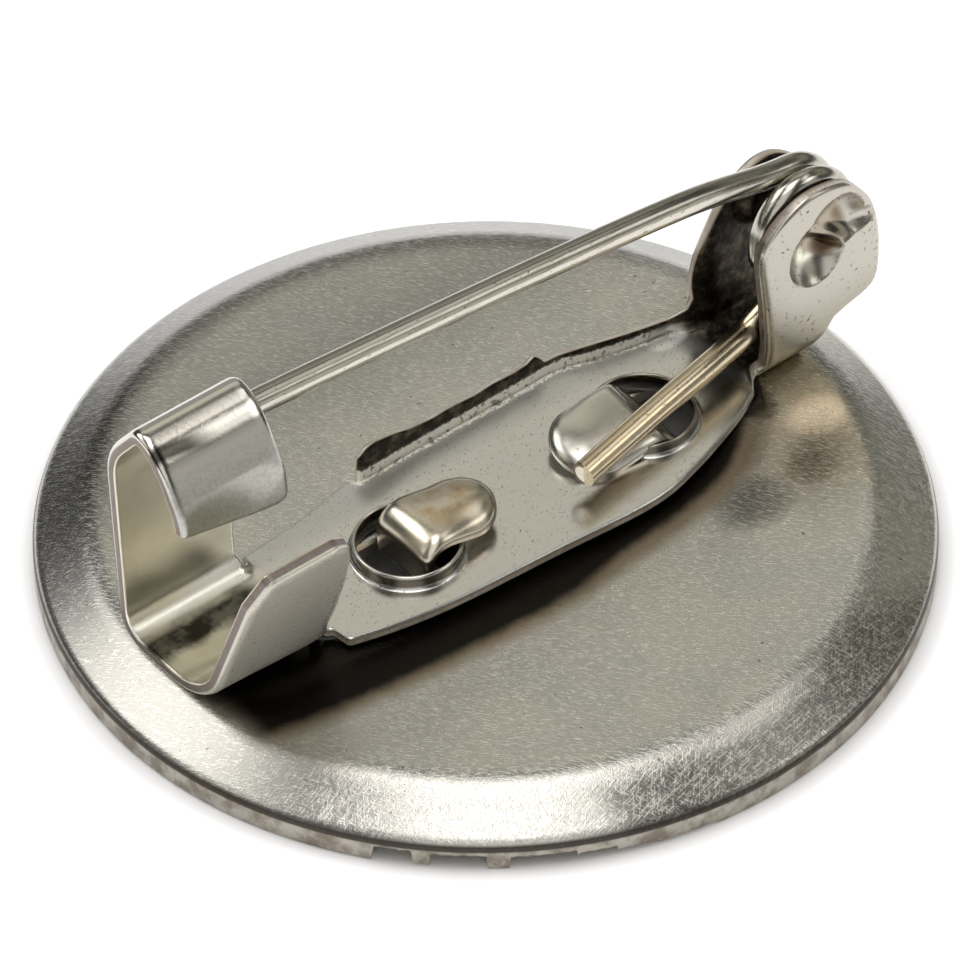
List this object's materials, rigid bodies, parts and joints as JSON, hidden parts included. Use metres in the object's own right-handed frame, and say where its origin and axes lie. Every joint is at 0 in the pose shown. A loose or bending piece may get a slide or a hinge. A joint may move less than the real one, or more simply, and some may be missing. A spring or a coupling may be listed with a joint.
{
  "type": "badge blank",
  "caption": "Round stamped steel badge back with a clinched safety-pin fitting: a bar with a curled catch, a guard tab and two ears that hold a coiled spring wire.",
  "frame": {"origin": "centre of the round rim at its lower edge, on the plane the badge blank lies on", "axes": "+X runs along the bar from the catch to the coil, +Y to the side of the ragged flange, +Z out of the shell's back towards the pin"},
  "size_m": [0.0256, 0.025, 0.0099],
  "materials": {
    "disc": "tin-plated steel, satin with fine short scratches",
    "bar": "bright nickel-plated stamped sheet",
    "wire": "bright drawn spring wire with a warm tint"
  },
  "bodies": {
    "base": {"disc": "disc", "pin_bar": "bar", "coil_tail": "wire"},
    "pin": {"pin_arm": "wire"}
  },
  "joints": [
    {"name": "pin_press", "type": "hinge", "parent": "base", "child": "pin", "pos_m": [0.01083, 0, 0.00604], "axis": [0, 1, 0], "range_deg": [-8, 0], "stiffness_Nm_per_rad": 0.16}
  ]
}
